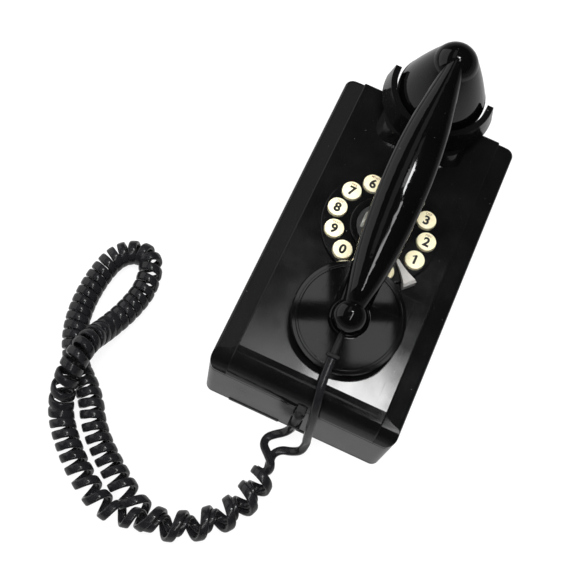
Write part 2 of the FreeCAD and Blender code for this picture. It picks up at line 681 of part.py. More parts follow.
def in_mouthpiece(shape):
    """From the mouthpiece's own frame, rim plane at zero, to the handset's place."""
    shape.rotate(V(0, 0, 0), X_AXIS, MOUTH_TILT)
    shape.translate(V(0, MOUTH_Y, MOUTH_Z))
    return skewed(shape)


def make_handle():
    sections = []
    for share, rise, half_w, half_h in HANDLE_SECTIONS:
        y = MOUTH_Y + share * (CRADLE_Y - MOUTH_Y)
        if half_w > half_h:
            oval = Part.Ellipse(V(half_w, 0, 0), V(0, half_h, 0), V(0, 0, 0))
        else:
            oval = Part.Ellipse(V(0, half_h, 0), V(-half_w, 0, 0), V(0, 0, 0))
        wire = Part.Wire(oval.toShape())
        wire.rotate(V(0, 0, 0), X_AXIS, 90)
        wire.translate(V(0, y, PANEL_TOP + rise))
        sections.append(wire)
    return Part.makeLoft(sections, True)


def make_bell():
    """Receiver bell: a short rim, a tapering wall and a domed top, revolved."""
    top = BELL_Z + BELL_H
    neck_z = BELL_Z + BELL_NECK_H
    rim_z = BELL_Z + BELL_RIM_H
    run = BELL_RIM_R - BELL_NECK_R
    fall = neck_z - rim_z
    bulge = V(BELL_RIM_R - run * 0.46, 0, rim_z + fall * 0.5)
    dome = V(BELL_NECK_R * 0.66, 0, top - BELL_NECK_R * 0.22)
    face = outline(V(0, 0, BELL_Z), (
        V(BELL_RIM_R, 0, BELL_Z),
        V(BELL_RIM_R, 0, rim_z),
        (bulge, V(BELL_NECK_R, 0, neck_z)),
        (dome, V(0, 0, top)),
        V(0, 0, BELL_Z)))
    bell = face.revolve(V(0, 0, 0), Z_AXIS, 360)
    bell.translate(V(0, CRADLE_Y, 0))
    return bell


def flare_arc(radius):
    """Middle and end of the hollow curve from the dish up to an upright at this radius."""
    bend = WEB_FLARE * (1 - math.sqrt(0.5))
    return V(radius + bend, 0, bend), V(radius, 0, WEB_FLARE)


def make_knob_foot():
    """Hollow-sided foot round the knob."""
    radius = math.sqrt(KNOB_R ** 2 - (KNOB_RISE - WEB_FLARE) ** 2)
    face = outline(V(radius + WEB_FLARE, 0, 0), (
        flare_arc(radius),
        V(0, 0, WEB_FLARE),
        V(0, 0, 0),
        V(radius + WEB_FLARE, 0, 0)))
    return face.revolve(V(0, 0, 0), Z_AXIS, 360)


def web_section(y, half_w):
    """Hollow-sided section of the web between the dish and the handle."""
    middle, end = flare_arc(half_w)
    right = (V(half_w + WEB_FLARE, 0, 0), middle, end, V(half_w, 0, WEB_H))
    left = [V(-point.x, 0, point.z) for point in right]
    face = outline(right[0], (
        (right[1], right[2]),
        right[3],
        left[3],
        left[2],
        (left[1], left[0]),
        right[0]))
    wire = face.OuterWire
    wire.translate(V(0, y, 0))
    return wire


def make_dish():
    """Mouthpiece dish with a raised lip and the knob that ends the handle."""
    dish = rod(MOUTH_DISH_R, -MOUTH_DISH_T, MOUTH_LIP_H)
    dish = dish.cut(rod(MOUTH_DISH_R - MOUTH_LIP_W, 0, MOUTH_LIP_H))
    dish = dish.makeFillet(MOUTH_LIP_R, edges_at(dish, MOUTH_LIP_H))
    knob = Part.makeSphere(KNOB_R, V(0, 0, KNOB_RISE))
    knob = knob.common(rod(KNOB_R, 0, KNOB_RISE + KNOB_R))
    web = Part.makeLoft([web_section(0, WEB_KNOB_HALF_W), web_section(WEB_RUN, WEB_END_HALF_W)], True)
    return dish.fuse([knob, make_knob_foot(), web])


def make_handset_body():
    body = skewed(make_handle().fuse(make_bell()))
    body = body.fuse(in_mouthpiece(make_dish()))
    body = body.cut(skewed(rod(EAR_CAVITY_R, BELL_Z, BELL_Z + EAR_CAVITY_H, 0, CRADLE_Y)))
    mic_room = rod(MIC_R + CAPSULE_GAP, -MOUTH_DISH_T, -MOUTH_DISH_T + MIC_H + CAPSULE_GAP)
    return body.cut(in_mouthpiece(mic_room)).removeSplitter()


def sound_holes(z0, z1, x, y):
    holes = [rod(SOUND_HOLE_R, z0, z1, x, y)]
    for k in range(SOUND_HOLES):
        hx, hy = on_circle(SOUND_RING_R, k * 360 / SOUND_HOLES, x, y)
        holes.append(rod(SOUND_HOLE_R, z0, z1, hx, hy))
    return holes


def make_ear_cap():
    cap = rod(EAR_R, EAR_CAP_Z, BELL_Z, 0, CRADLE_Y)
    cap = cap.makeFillet(EAR_CAP_EDGE_R, edges_at(cap, EAR_CAP_Z))
    spigot_r = EAR_CAVITY_R - CAP_FIT
    cap = cap.fuse(rod(spigot_r, BELL_Z, BELL_Z + EAR_SPIGOT_H, 0, CRADLE_Y))
    floor = EAR_CAP_Z + EAR_CAP_FLOOR_T
    cap = cap.cut(rod(spigot_r - EAR_SPIGOT_T, floor, BELL_Z + EAR_SPIGOT_H, 0, CRADLE_Y))
    return skewed(cap.cut(sound_holes(EAR_CAP_Z, floor, 0, CRADLE_Y)).removeSplitter())


def make_receiver_capsule():
    radius = EAR_CAVITY_R - CAP_FIT - EAR_SPIGOT_T - CAPSULE_GAP
    floor = EAR_CAP_Z + EAR_CAP_FLOOR_T
    capsule = rod(radius, floor, BELL_Z + EAR_SPIGOT_H, 0, CRADLE_Y)
    return skewed(capsule.makeFillet(WALL / 2, edges_at(capsule, BELL_Z + EAR_SPIGOT_H)))


def make_mouth_cap():
    cap = Part.makeCone(MOUTH_CAP_R, MOUTH_CAP_TOP_R, -MOUTH_CAP_DROP - MOUTH_CAP_Z, V(0, 0, MOUTH_CAP_Z))
    cap = cap.cut(rod(MOUTH_DISH_R + CAP_FIT, -MOUTH_DISH_T, 0))
    return in_mouthpiece(cap.cut(sound_holes(MOUTH_CAP_Z, -MOUTH_DISH_T, 0, 0)))


def make_microphone_capsule():
    mic = rod(MIC_R, -MOUTH_DISH_T, -MOUTH_DISH_T + MIC_H)
    return in_mouthpiece(mic.makeFillet(MIC_H / 4, edges_at(mic, -MOUTH_DISH_T + MIC_H)))


def make_handset_strain_relief(body):
    """Tapered boot from the knob to the collar where the cord comes out."""
    end = -RELIEF_START - RELIEF_LENGTH
    start = V(0, -RELIEF_START, RELIEF_H)
    boot = Part.makeCone(RELIEF_START_R, RELIEF_END_R, RELIEF_LENGTH, start, V(0, -1, 0))
    half_h = COLLAR_H / 2
    collar = box(-COLLAR_W / 2, COLLAR_W / 2, end, end + COLLAR_T, RELIEF_H - half_h, RELIEF_H + half_h)
    collar = collar.makeFillet(COLLAR_T / 4, collar.Edges)
    return in_mouthpiece(boot.fuse(collar)).cut(body)


def make_base_strain_relief():
    """Boot that leaves the notch under the cover's lip and turns down the wall."""
    half = BASE_RELIEF_NOTCH_W / 2 - SCREW_CLEARANCE
    x = BASE_RELIEF_X
    plug = box(x - half, x + half, BASE_BOOT_Y, -HALF_L + BASE_RELIEF_NOTCH_DEPTH - SCREW_CLEARANCE,
               BASE_TOP + SCREW_CLEARANCE / 2, BASE_RELIEF_Z + half)
    plug = plug.makeFillet(half / 3, [e for e in plug.Edges if abs(e.CenterOfMass.y - BASE_BOOT_Y) < 1e-3])
    boot = Part.makeCone(BASE_RELIEF_TOP_R, BASE_RELIEF_END_R, BASE_RELIEF_Z - BASE_COLLAR_Z,
                         V(x, BASE_BOOT_Y, BASE_RELIEF_Z), V(0, 0, -1))
    shoulder = Part.makeSphere(BASE_RELIEF_TOP_R, V(x, BASE_BOOT_Y, BASE_RELIEF_Z))
    half_w = BASE_COLLAR_W / 2
    collar = box(x - half_w, x + half_w, BASE_BOOT_Y - BASE_RELIEF_TOP_R, BASE_BOOT_Y + BASE_RELIEF_TOP_R,
                 BASE_COLLAR_Z, BASE_COLLAR_Z + BASE_COLLAR_T)
    return plug.fuse([boot, shoulder, collar]).removeSplitter()


def tube_along(path, start, direction):
    """Round cord swept along one wire."""
    section = Part.Wire(Part.Circle(start, direction, WIRE_D / 2).toShape())
    sweep = Part.BRepOffsetAPI.MakePipeShell(path)
    sweep.add(section)
    sweep.build()
    sweep.makeSolid()
    return sweep.shape()


def make_lead(name, points):
    """Straight runs joined by tangent arcs as large as the runs allow."""
    edges = []
    radii = []
    here = points[0]
    for before, corner, after in zip(points, points[1:], points[2:]):
        back = before - corner
        ahead = after - corner
        turn = math.pi - back.getAngle(ahead)
        cut = 0.45 * min(back.Length, ahead.Length)
        radii.append(cut / math.tan(turn / 2))
        arc_start = corner + back.normalize() * cut
        arc_end = corner + ahead.normalize() * cut
        centre_way = (back + ahead).normalize()
        reach = math.hypot(cut, radii[-1])
        arc_middle = corner + centre_way * (reach - radii[-1])
        edges.append(Part.makeLine(here, arc_start))
        edges.append(Part.Arc(arc_start, arc_middle, arc_end).toShape())
        here = arc_end
    edges.append(Part.makeLine(here, points[-1]))
    path = Part.Wire(edges)
    lead = tube_along(path, points[0], points[1] - points[0])
    share = lead.Volume / (math.pi * WIRE_D ** 2 / 4 * path.Length)
    print(name, "radii", [round(r, 1) for r in radii],
          "length", round(path.Length, 1), "volume share", round(share, 4))
    return lead


def curl_place(row):
    """Place of the curls' row, whose third value is the lift from where they lie on the table."""
    return V(row[0], -HALF_L - row[1], CURL_LIE_H + row[2])


def lead_place(row):
    """Place of a lead's row, whose last value is a share of the body's height."""
    return V(row[0], -HALF_L - row[1], row[2] * BODY_H)


def curl_axis(fraction, row_before, row, row_after):
    """Point of the cord's axis and the curls so far, on one smooth bend of the route."""
    start = [(a + b) / 2 for a, b in zip(row_before, row)]
    end = [(a + b) / 2 for a, b in zip(row, row_after)]
    rest = 1 - fraction
    weights = (rest * rest, 2 * rest * fraction, fraction * fraction)
    return [sum(w * v for w, v in zip(weights, values)) for values in zip(start, row, end)]


def curl_points(rows, steps):
    """Points of the curly cord's middle, evenly stepped along each bend of its axis."""
    axis = []
    for before, row, after in zip(rows, rows[1:], rows[2:]):
        axis += [curl_axis(k / steps, before, row, after) for k in range(steps)]
    axis.append(curl_axis(1.0, *rows[-3:]))
    points = []
    for index, (x, y, z, curls) in enumerate(axis):
        ahead = axis[min(index + 1, len(axis) - 1)]
        behind = axis[max(index - 1, 0)]
        along = V(ahead[0] - behind[0], ahead[1] - behind[1], ahead[2] - behind[2]).normalize()
        side = along.cross(Z_AXIS).normalize()
        up = side.cross(along)
        grown = min(1.0, curls / CURL_RAMP, (CURL_COUNT - curls) / CURL_RAMP)
        radius = CURL_R * grown * grown * (3 - 2 * grown)
        turn = 2 * math.pi * curls
        off = side * (radius * math.cos(turn)) + up * (radius * math.sin(turn))
        points.append((V(x, y, z) + off, curls))
    return points


def arc_from(start, tangent, end):
    """Arc that leaves start along the tangent and reaches end."""
    chord = end - start
    along = V(chord).normalize()
    away = tangent - along * tangent.dot(along)
    if away.Length < 1e-6:
        return Part.makeLine(start, end)
    half_angle = tangent.getAngle(along)
    through = start + chord * 0.5 + away.normalize() * (chord.Length / 2 * math.tan(half_angle / 2))
    return Part.Arc(start, through, end).toShape()


def biarc(start, start_way, end, end_way):
    """Two tangent arcs between two points with given directions."""
    span = end - start
    ways = start_way + end_way
    lean = 2 * (1 - start_way.dot(end_way))
    product = span.dot(ways)
    if lean < 1e-9:
        reach = span.dot(span) / (2 * product)
    else:
        reach = (math.sqrt(product ** 2 + lean * span.dot(span)) - product) / lean
    first = start + start_way * reach
    second = end - end_way * reach
    joint = (first + second) * 0.5
    return [arc_from(start, start_way, joint), arc_from(joint, (second - first).normalize(), end)]


def least_gap(points):
    """Least free distance between two stretches of the cord that aren't neighbours."""
    skip = int(CURL_R * math.pi / (points[1] - points[0]).Length)
    cell = WIRE_D * 2
    cells = {}
    for index, point in enumerate(points):
        cells.setdefault((point.x // cell, point.y // cell, point.z // cell), []).append((index, point))
    near = [(i, j, k) for i in (-1, 0, 1) for j in (-1, 0, 1) for k in (-1, 0, 1)]
    least = cell
    for (cx, cy, cz), members in cells.items():
        others = [entry for i, j, k in near for entry in cells.get((cx + i, cy + j, cz + k), ())]
        for index, point in members:
            for other, other_point in others:
                if other - index > skip:
                    least = min(least, point.distanceToPoint(other_point))
    return least - WIRE_D


def make_curly_cord():
    """One unbroken wound tube, straight for one diameter at each end."""
    rows = [(*lead_place(HANDSET_LEAD_ROUTE[-1]), 0.0)]
    rows += [(*curl_place(row), row[3]) for row in CURL_ROUTE]
    rows.append((*lead_place(BASE_LEAD_ROUTE[0]), CURL_COUNT))
    dense = curl_points(rows, AXIS_STEPS)
    first_way = (dense[1][0] - dense[0][0]).normalize()
    last_way = (dense[-1][0] - dense[-2][0]).normalize()
    nodes = [(dense[0][0] + first_way * WIRE_D, first_way)]
    next_curl = 1 / NODES_PER_CURL
    for before, (point, curls), after in zip(dense, dense[1:], dense[2:]):
        if curls >= next_curl and CURL_COUNT - curls > 0.5 / NODES_PER_CURL:
            nodes.append((point, (after[0] - before[0]).normalize()))
            next_curl += 1 / NODES_PER_CURL
    nodes.append((dense[-1][0] - last_way * WIRE_D, last_way))
    edges = [Part.makeLine(dense[0][0], nodes[0][0])]
    for (start, start_way), (end, end_way) in zip(nodes, nodes[1:]):
        edges += biarc(start, start_way, end, end_way)
    edges.append(Part.makeLine(nodes[-1][0], dense[-1][0]))
    path = Part.Wire(edges)
    cord = tube_along(path, dense[0][0], first_way)
    share = cord.Volume / (math.pi * WIRE_D ** 2 / 4 * path.Length)
    tightest = min(e.Curve.Radius for e in edges if hasattr(e.Curve, "Radius"))
    middle = path.discretize(Distance=WIRE_D / 4)
    gap = least_gap(middle)
    lowest = min(point.z for point in middle) - WIRE_D / 2
    print("curly_cord curls", CURL_COUNT, "length", round(path.Length, 1), "volume share", round(share, 4),
          "tightest", round(tightest, 2), "least gap", round(gap, 2), "lowest", round(lowest, 2))
    return cord


def lead_points(exits, route, meets):
    """Points of a lead from its exit to just short of the curls, half way to their first point."""
    points = exits + [lead_place(row) for row in route]
    way = curl_place(meets) - points[-1]
    points.append(points[-1] + way * (0.5 - CORD_END_GAP / way.Length))
    return points


def make_handset_lead():
    ends = [Part.Vertex(0, -RELIEF_START - RELIEF_LENGTH - run, RELIEF_H) for run in (0, HANDSET_LEAD_RUN)]
    exits = [in_mouthpiece(end).Point for end in ends]
    return make_lead("handset_lead", lead_points(exits, HANDSET_LEAD_ROUTE, CURL_ROUTE[0]))


def make_base_lead():
    exits = [V(BASE_RELIEF_X, BASE_BOOT_Y, BASE_COLLAR_Z - run) for run in (0, BASE_LEAD_RUN)]
    return make_lead("base_lead", lead_points(exits, BASE_LEAD_ROUTE[::-1], CURL_ROUTE[-1]))


def main():
    os.makedirs("parts", exist_ok=True)
    handset_body = make_handset_body()
    pieces = {
        "back_plate": make_back_plate(),
        "line_socket": make_line_socket(),
        "base_housing": make_base_housing(),
        "front_cover": make_front_cover(),
        "cover_screws": Part.makeCompound(make_cover_screws()),
        "dial_plate": make_dial_plate(),
        "hub_ring": make_hub_ring(),
        "number_card": make_number_card(),
        "card_window": make_card_window(),
        "finger_stop": make_finger_stop(),
        "keypad_mat": make_keypad_disc(MAT_TOP, MAT_T),
        "keypad_board": make_keypad_disc(BOARD_TOP, BOARD_T),
        "keypad_screws": Part.makeCompound(make_keypad_screws()),
        "cradle_fork": make_cradle_fork(),
        "cradle_screws": Part.makeCompound(make_cradle_screws()),
        "hook_plunger": make_hook_plunger(),
        "hook_switch": make_hook_switch(),
        "main_board": make_main_board(),
        "board_screws": Part.makeCompound(make_board_screws()),
        "ringer": make_ringer(),
        "base_strain_relief": make_base_strain_relief(),
        "handset_body": handset_body,
        "ear_cap": make_ear_cap(),
        "receiver_capsule": make_receiver_capsule(),
        "mouth_cap": make_mouth_cap(),
        "microphone_capsule": make_microphone_capsule(),
        "handset_strain_relief": make_handset_strain_relief(handset_body),
        "handset_lead": make_handset_lead(),
        "base_lead": make_base_lead(),
        "curly_cord": make_curly_cord(),
    }
    for name, (x, y) in button_places():
        pieces["button_" + name] = make_button(x, y)
    for node, shape in pieces.items():
        shape.exportStep(f"parts/{node}.step")


main()
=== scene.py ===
"""Looks of the wall telephone: camera, studio, cord, finishes and the details the solids leave plain."""
import math

import bmesh
import bpy
from mathutils import Matrix, Vector


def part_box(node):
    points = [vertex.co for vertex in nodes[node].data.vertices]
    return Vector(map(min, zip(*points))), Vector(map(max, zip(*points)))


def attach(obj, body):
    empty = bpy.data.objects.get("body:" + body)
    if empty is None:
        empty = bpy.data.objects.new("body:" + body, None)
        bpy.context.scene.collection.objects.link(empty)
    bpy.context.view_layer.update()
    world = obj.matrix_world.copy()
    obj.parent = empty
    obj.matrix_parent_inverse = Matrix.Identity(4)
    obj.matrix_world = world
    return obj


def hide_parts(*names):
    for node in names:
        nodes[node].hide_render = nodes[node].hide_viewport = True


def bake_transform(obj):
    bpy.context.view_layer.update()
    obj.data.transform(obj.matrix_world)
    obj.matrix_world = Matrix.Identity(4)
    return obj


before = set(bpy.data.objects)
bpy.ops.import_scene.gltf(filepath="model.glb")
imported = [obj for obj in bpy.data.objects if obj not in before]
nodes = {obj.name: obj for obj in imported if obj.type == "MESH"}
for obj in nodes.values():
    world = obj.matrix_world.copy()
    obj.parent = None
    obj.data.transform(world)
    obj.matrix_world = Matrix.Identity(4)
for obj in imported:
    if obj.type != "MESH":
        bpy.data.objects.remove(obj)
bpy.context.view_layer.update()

MM = 0.001

# Cord: places across the body and out from its lower wall, in millimetres. A lead's row ends with its share
# of the body's height, a curl's row with the lift from where curls lie on the floor and the curls so far
LOWER_WALL_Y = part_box("base_housing")[0].y / MM
BODY_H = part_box("front_cover")[1].z / MM
CURL_LIE_H = 9.15
CURL_COUNT = 70.5
TWIN_LAG = 0.2
OPEN_SHARE = 1.26
NEST_SHARE = 0.76
HANDSET_EXIT = ((5.88, -89.06, 82.02), (6.12, -97.62, 79.24))
BASE_EXIT = ((2.0, -124.9, 22.5), (2.0, -124.9, 30.0))
HANDSET_LEAD_ROUTE = (
    (7.2, -13.0, 1.117),
    (9.3, -3.5, 1.022),
    (11.0, 3.5, 0.867),
    (12.4, 7.0, 0.667),
    (13.5, 9.5, 0.459),
    (15.0, 11.0, 0.267),
    (14.0, 14.5, 0.119),
    (8.0, 16.5, 0.042),
    (1.5, 18.0, 0.034),
    (-3.0, 23.5, 0.034),
)
# Out from the wall the two strands lie on one axis, the second nested in the curls of the first
CURL_START = (
    (-2, 31, -4, 0.0),
    (-3, 40, 3, 0.4),
)
TWIN_STRETCH = (
    (-4, 55, 2, 1.5),
    (-14, 78, 2, 3.0),
    (-36, 96, 2, 4.5),
    (-62, 102, 2, 6.0),
)
CURL_LOOP = (
    (-88, 86, 0, 7.75),
    (-119, 63, 0, 12.5),
    (-133, 41, 0, 15.5),
    (-155, 24, 0, 19.25),
    (-167, 0, 0, 23.25),
    (-170, -32, 0, 28.25),
    (-164, -63, 0, 32.75),
    (-142, -71, 0, 35.5),
    (-134, -48, 0, 38.0),
    (-138, -25, 0, 41.5),
    (-146, -3, 3, 45.0),
    (-149, 14, 22, 48.25),
    (-150, 40, 22, 51.5),
    (-148, 57, 1, 54.0),
    (-137, 72, 0, 56.5),
    (-116, 91, 0, 60.0),
    (-88, 107, 0, 62.5),
)
CURL_END = (
    (-1, 40, 3, 70.1),
    (-1, 31, 0, CURL_COUNT),
)
BASE_LEAD_ROUTE = (
    (-6.5, 25.5, 0.113),
    (-11.5, 20.5, 0.065),
    (-11.5, 14.5, 0.044),
    (-7.0, 10.5, 0.067),
    (-2.0, 8.0, 0.133),
    (0.9, 5.8, 0.225),
)
WIRE_WIDTH = 6.0
WIRE_THICKNESS = 3.1
LEAD_WIDTH = 4.2
LEAD_THICKNESS = 5.8
CURL_R = 7.25
CURL_RAMP = 0.6
FIRST_CURL_AT = 0.5
ROUTE_STEPS = 220
RING_CORNERS = 16
WIRE_SQUARENESS = 0.55
RING_SPACING = 1.1 * MM

# Print on the keys and the card strip, and the screw crosses, whose near-black colour is painted shade in
# the recesses, in metres. The weights, and the flag of the figure one, are shares of the letter's size
KEY_NAMES = ("1", "2", "3", "4", "5", "6", "7", "8", "9", "0", "star", "hash")
KEY_SIGNS = {"star": "*", "hash": "#"}
KEY_LETTERS = {
    "2": "ABC", "3": "DEF", "4": "GHI", "5": "JKL",
    "6": "MNO", "7": "PRS", "8": "TUV", "9": "WXY",
}
FIGURE_SIZE = 0.0092
FIGURE_WEIGHT = 0.04
FIGURE_DROP = -0.0003
FIGURE_DROP_WITH_LETTERS = -0.0007
LETTER_SIZE = 0.0026
LETTER_WEIGHT = 0.004
LETTER_RISE = 0.0044
FLAG_LENGTH = 0.27
FLAG_WIDTH = 0.1
FLAG_SLANT = math.radians(36)
FLAG_LEFT = 0.05
FLAG_DOWN = 0.14
PRINT_EDGE = 0.0012
STRIP_SIZE = (0.027, 0.0125, 0.00012)
STRIP_SUNK = 0.00004
STRIP_CORNER = 0.0008
CROSS_LENGTH = 0.0032
CROSS_WIDTH = 0.0008
CROSS_DEPTH = 0.0003
CROSS_SUNK = 0.00011
SCREW_HEAD_R = 0.0028
KEY_DOME_R = 0.0334
PRINT_LIFT = 0.00005
FONT_STEPS = 5
PRINT_MERGE = 0.002

# Camera, solved from the photograph
CAMERA_PLACE = (-0.0068, -0.3089, 0.7127)
CAMERA_RIGHT = Vector((0.9084, 0.4032, 0.1109))
CAMERA_DOWN = Vector((0.4151, -0.8369, -0.3569))
CAMERA_FORWARD = Vector((-0.0511, 0.3702, -0.9275))
FOCAL_PIXELS = 1039.73
PHOTO_PIXELS = 570
SENSOR_WIDTH = 36.0

# Lamps, in metres and watts: place, aim, size and power. The panes and the haze hang level
LAMP_H = 2.0
TOP_FILL = ((-0.2, -0.1, LAMP_H), (0, 0, 0.05), (2.0, 2.0), 82.0)
WINDOW_LAMP = ((0.15, 0.52, LAMP_H), (0, 0, 0.07), (0.24, 0.2), 3.2)
STRIP_LAMP = ((0.34, -0.6, LAMP_H), (0.34, -0.6, 0.0), (0.16, 1.9), 5.5)
SIDE_WINDOW = ((-1.6, 0.2, 0.75), (0, 0, 0.1), (2.4, 1.5), 7.0)
SKY_WINDOW = ((-0.62, 0.95, LAMP_H), (-0.62, 0.95, 0.0), (0.5, 1.7), 0.7)
STRAIGHT_DOWN = Vector((0, 0, -1))
PANES_MIDDLE = Vector((0.047, -0.60, 2.2))
PANE_TURN = math.radians(24)
PANE_OFF = 0.088
PANE_SIZE = 0.12
PANE_POWER = 0.06
HAZE_X = -0.041
HAZE_NEAR_Y = 0.412
HAZE_WIDTH = 0.362
HAZE_STEPS = ((0.155, 0.5), (0.22, 0.2), (0.336, 0.11))

# Floor and world. Each fade runs from a low to a high value, then gives the strengths at both
FLOOR_HALF = 6.0
FLOOR_DROP = 0.0004
FLOOR_SEEN_SHARE = 0.82
FLOOR_MIRRORED_FADE = (0.25, 0.9, 0.55, 0.16)
FLOOR_WHITE_FADE = (0.6, 2.0, 1.06, 1.25)
HORIZON_FADE = (0.02, 0.4, 0.16, 0.012)
FADE_KEYS = ("From Min", "From Max", "To Min", "To Max")


# Camera

def aim_camera():
    turn = Matrix((CAMERA_RIGHT, -CAMERA_DOWN, -CAMERA_FORWARD)).transposed().to_4x4()
    data = bpy.data.cameras.new("photo_camera")
    data.sensor_width = SENSOR_WIDTH
    data.lens = SENSOR_WIDTH * FOCAL_PIXELS / PHOTO_PIXELS
    data.clip_start = 0.01
    camera = bpy.data.objects.new("photo_camera", data)
    camera.matrix_world = Matrix.Translation(CAMERA_PLACE) @ turn
    bpy.context.scene.collection.objects.link(camera)
    bpy.context.scene.camera = camera


# Finishes

class Finish:
    """A shader tree that reads the object's own coordinates."""

    def __init__(self, name, roughness=0.4, metallic=0.0):
        self.material = bpy.data.materials.new(name)
        self.material.use_nodes = True
        self.tree = self.material.node_tree
        self.shader = self.tree.nodes["Principled BSDF"]
        self.shader.inputs["Roughness"].default_value = roughness
        self.shader.inputs["Metallic"].default_value = metallic
        self.place = self.tree.nodes.new("ShaderNodeTexCoord").outputs["Object"]

    def node(self, kind, **inputs):
        made = self.tree.nodes.new(kind)
        for key, value in inputs.items():
            socket = made.inputs[key.replace("_", " ")]
            if isinstance(value, bpy.types.NodeSocket):
                self.tree.links.new(value, socket)
            else:
                socket.default_value = value
        return made

    def noise(self, scale, detail=3.0, stretch=(1, 1, 1), turn=(0, 0, 0)):
        place = self.node("ShaderNodeMapping", Vector=self.place, Scale=stretch, Rotation=turn)
        grain = self.node("ShaderNodeTexNoise", Vector=place.outputs[0], Scale=scale, Detail=detail)
        return grain.outputs[0]

    def ramp(self, value, low, high, first, last):
        """Runs from first to last while the value goes from low to high."""
        made = self.node("ShaderNodeMapRange", Value=value)
        for key, number in zip(FADE_KEYS, (low, high, first, last)):
            made.inputs[key].default_value = number
        return made.outputs[0]

    def mix(self, share, first, last):
        made = self.tree.nodes.new("ShaderNodeMix")
        made.data_type = "RGBA"
        for socket, value in ((made.inputs[0], share), (made.inputs[6], first), (made.inputs[7], last)):
            if isinstance(value, bpy.types.NodeSocket):
                self.tree.links.new(value, socket)
            else:
                socket.default_value = value if isinstance(value, float) else (*value, 1.0)
        return made.outputs[2]

    def math(self, operation, first, second):
        made = self.tree.nodes.new("ShaderNodeMath")
        made.operation = operation
        for socket, value in zip(made.inputs, (first, second)):
            if isinstance(value, bpy.types.NodeSocket):
                self.tree.links.new(value, socket)
            else:
                socket.default_value = value
        return made.outputs[0]

    def set(self, **sockets):
        for key, value in sockets.items():
            socket = self.shader.inputs[key.replace("_", " ")]
            if isinstance(value, bpy.types.NodeSocket):
                self.tree.links.new(value, socket)
            else:
                socket.default_value = value
        return self

    def relief(self, height, depth, strength=1.0):
        bump = self.node("ShaderNodeBump", Height=height, Strength=strength, Distance=depth)
        self.tree.links.new(bump.outputs[0], self.shader.inputs["Normal"])
        return self


def polished_black(name, colour, haze, dust):
    """Moulded black plastic: near-black, glossy, with hairline scratches and a few specks of dust."""
    finish = Finish(name)
    cloud = finish.noise(38.0, 4.0)
    hair_a = finish.noise(900.0, 2.0, stretch=(1.0, 0.035, 0.3), turn=(0, 0, 0.7))
    hair_b = finish.noise(820.0, 2.0, stretch=(0.04, 1.0, 0.3), turn=(0, 0, 0.35))
    lines_a = finish.ramp(hair_a, 0.66, 0.78, 0.0, 1.0)
    lines_b = finish.ramp(hair_b, 0.67, 0.79, 0.0, 1.0)
    hair = finish.math("MAXIMUM", lines_a, lines_b)
    speck = finish.ramp(finish.noise(620.0, 1.0), 0.79, 0.82, 0.0, 1.0)
    tone = finish.mix(cloud, tuple(0.5 * c for c in colour), colour)
    tone = finish.mix(finish.math("MULTIPLY", speck, dust), tone, (0.16, 0.16, 0.15))
    rough = finish.ramp(cloud, 0.3, 0.75, 0.03 + 0.4 * haze, 0.05 + 1.4 * haze)
    rough = finish.math("ADD", rough, finish.math("MULTIPLY", hair, 0.35 * haze + 0.02))
    finish.set(Base_Color=tone, Roughness=rough, IOR=1.5)
    finish.relief(finish.math("ADD", finish.math("MULTIPLY", hair, -0.4), cloud), 0.00002, 0.25)
    return finish.material


def moulded(name, dark, light, roughness, grain=260.0, ior=1.5):
    """Plain moulded or coated surface with a fine grain."""
    finish = Finish(name)
    cloud = finish.noise(55.0, 4.0)
    fine = finish.noise(grain * 6, 2.0)
    finish.set(Base_Color=finish.mix(cloud, dark, light),
               Roughness=finish.ramp(cloud, 0.3, 0.7, roughness * 0.85, roughness * 1.15), IOR=ior)
    finish.relief(fine, 0.00003, 0.3)
    return finish.material


def cream_cap():
    """Ivory key caps, a little yellower in their clouded patches."""
    finish = Finish("cream_cap")
    cloud = finish.noise(130.0, 3.0)
    finish.set(Base_Color=finish.mix(cloud, (0.87, 0.79, 0.50), (0.94, 0.88, 0.62)),
               Roughness=finish.ramp(cloud, 0.3, 0.7, 0.24, 0.36), Subsurface_Weight=0.08,
               Subsurface_Radius=(0.002, 0.0015, 0.001))
    finish.relief(finish.noise(1500.0, 2.0), 0.00002, 0.2)
    return finish.material


def plated(name, colour, roughness, brushed):
    """Plated or brushed metal."""
    finish = Finish(name, metallic=1.0)
    lines = finish.noise(700.0, 3.0, stretch=brushed)
    cloud = finish.noise(70.0, 3.0)
    tone = finish.mix(cloud, tuple(0.82 * c for c in colour), colour)
    finish.set(Base_Color=tone, Roughness=finish.ramp(lines, 0.3, 0.7, roughness * 0.7, roughness * 1.4))
    finish.relief(lines, 0.00002, 0.35)
    return finish.material


def cast_silver():
    """Grey cast metal, grainy and rather dull, so that it takes the light from all round."""
    finish = Finish("cast_silver", metallic=0.5)
    grain = finish.noise(1700.0, 4.0)
    cloud = finish.noise(240.0, 3.0)
    finish.set(Base_Color=finish.mix(cloud, (0.50, 0.485, 0.46), (0.74, 0.72, 0.69)),
               Roughness=finish.ramp(grain, 0.3, 0.7, 0.38, 0.6))
    finish.relief(grain, 0.00012, 0.5)
    return finish.material


def cord_sheath():
    """Black cord sheath, half glossy, with a fine grain."""
    finish = Finish("cord_sheath")
    cloud = finish.noise(150.0, 4.0)
    finish.set(Base_Color=finish.mix(cloud, (0.006, 0.006, 0.0068), (0.014, 0.014, 0.0155)),
               Roughness=finish.ramp(cloud, 0.3, 0.7, 0.12, 0.22), IOR=1.5)
    finish.relief(finish.noise(1300.0, 2.0), 0.00003, 0.3)
    return finish.material


def clear_window():
    finish = Finish("clear_window")
    cloud = finish.noise(90.0, 3.0)
    finish.set(Base_Color=finish.mix(cloud, (0.86, 0.87, 0.86), (0.93, 0.94, 0.93)),
               Roughness=finish.ramp(cloud, 0.3, 0.7, 0.03, 0.08), Transmission_Weight=0.95, IOR=1.46)
    return finish.material


